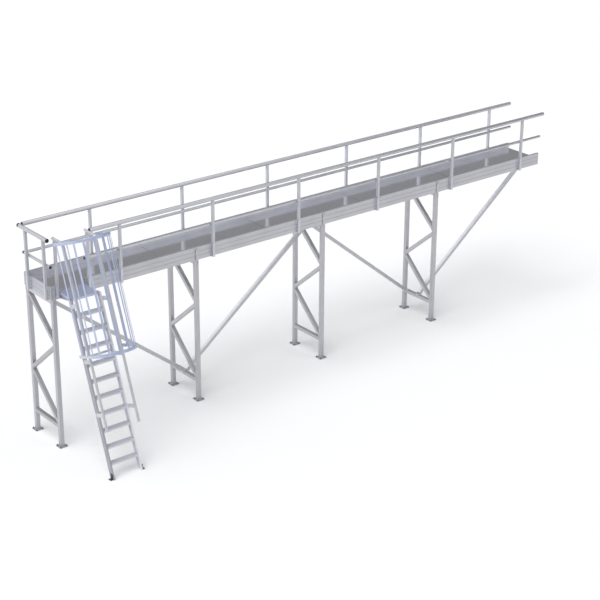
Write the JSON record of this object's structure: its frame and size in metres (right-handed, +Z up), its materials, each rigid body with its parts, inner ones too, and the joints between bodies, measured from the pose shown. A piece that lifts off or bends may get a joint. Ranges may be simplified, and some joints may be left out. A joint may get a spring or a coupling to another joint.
{
  "type": "elevated platform bridge",
  "caption": "Raised steel walkway on braced trestles, with guard rails along both sides and a caged step ladder at one end.",
  "frame": {"origin": "on the floor, midway between the two base plates of the trestle at the ladder end", "axes": "+X along the walkway away from the ladder end, +Y away from the ladder side, +Z up"},
  "size_m": [12.0917, 2.6438, 4.2655],
  "materials": {
    "beam_metal": "satin",
    "deck_metal": "satin",
    "cage_metal": "satin",
    "rail_metal": "satin",
    "cap_plastic": "matt",
    "brace_metal": "satin",
    "plate_metal": "satin",
    "ladder_metal": "satin",
    "frame_metal": "satin"
  },
  "bodies": {
    "root": {"side_beam_near": "beam_metal", "side_beam_far": "beam_metal", "end_beam": "beam_metal", "corner_beam": "beam_metal", "gate_sill": "beam_metal", "deck_planks": "deck_metal", "deck_joists": "frame_metal", "landing_plate": "deck_metal", "landing_gussets": "plate_metal", "trestle1_legs": "frame_metal", "trestle2_legs": "frame_metal", "trestle3_legs": "frame_metal", "trestle4_legs": "frame_metal", "trestle1_lacing": "frame_metal", "trestle2_lacing": "frame_metal", "trestle3_lacing": "frame_metal", "trestle4_lacing": "frame_metal", "trestle_heads": "frame_metal", "base_plates": "plate_metal", "leg_brackets": "plate_metal", "long_braces": "brace_metal", "brace_shoes": "brace_metal", "brace_hanger": "brace_metal", "near_posts": "rail_metal", "far_posts": "rail_metal", "gate_posts": "rail_metal", "end_posts": "rail_metal", "near_top_rail": "rail_metal", "far_top_rail": "rail_metal", "end_top_rail": "rail_metal", "near_mid_rail": "rail_metal", "far_mid_rail": "rail_metal", "end_mid_rail": "rail_metal", "rail_caps": "cap_plastic", "ladder_stile_left": "ladder_metal", "ladder_stile_right": "ladder_metal", "ladder_treads": "deck_metal", "ladder_feet": "plate_metal", "handrail_left": "rail_metal", "handrail_right": "rail_metal", "handrail_brackets": "plate_metal", "cage_hoops": "cage_metal", "cage_bars": "cage_metal", "cage_arms": "plate_metal"}
  },
  "joints": []
}
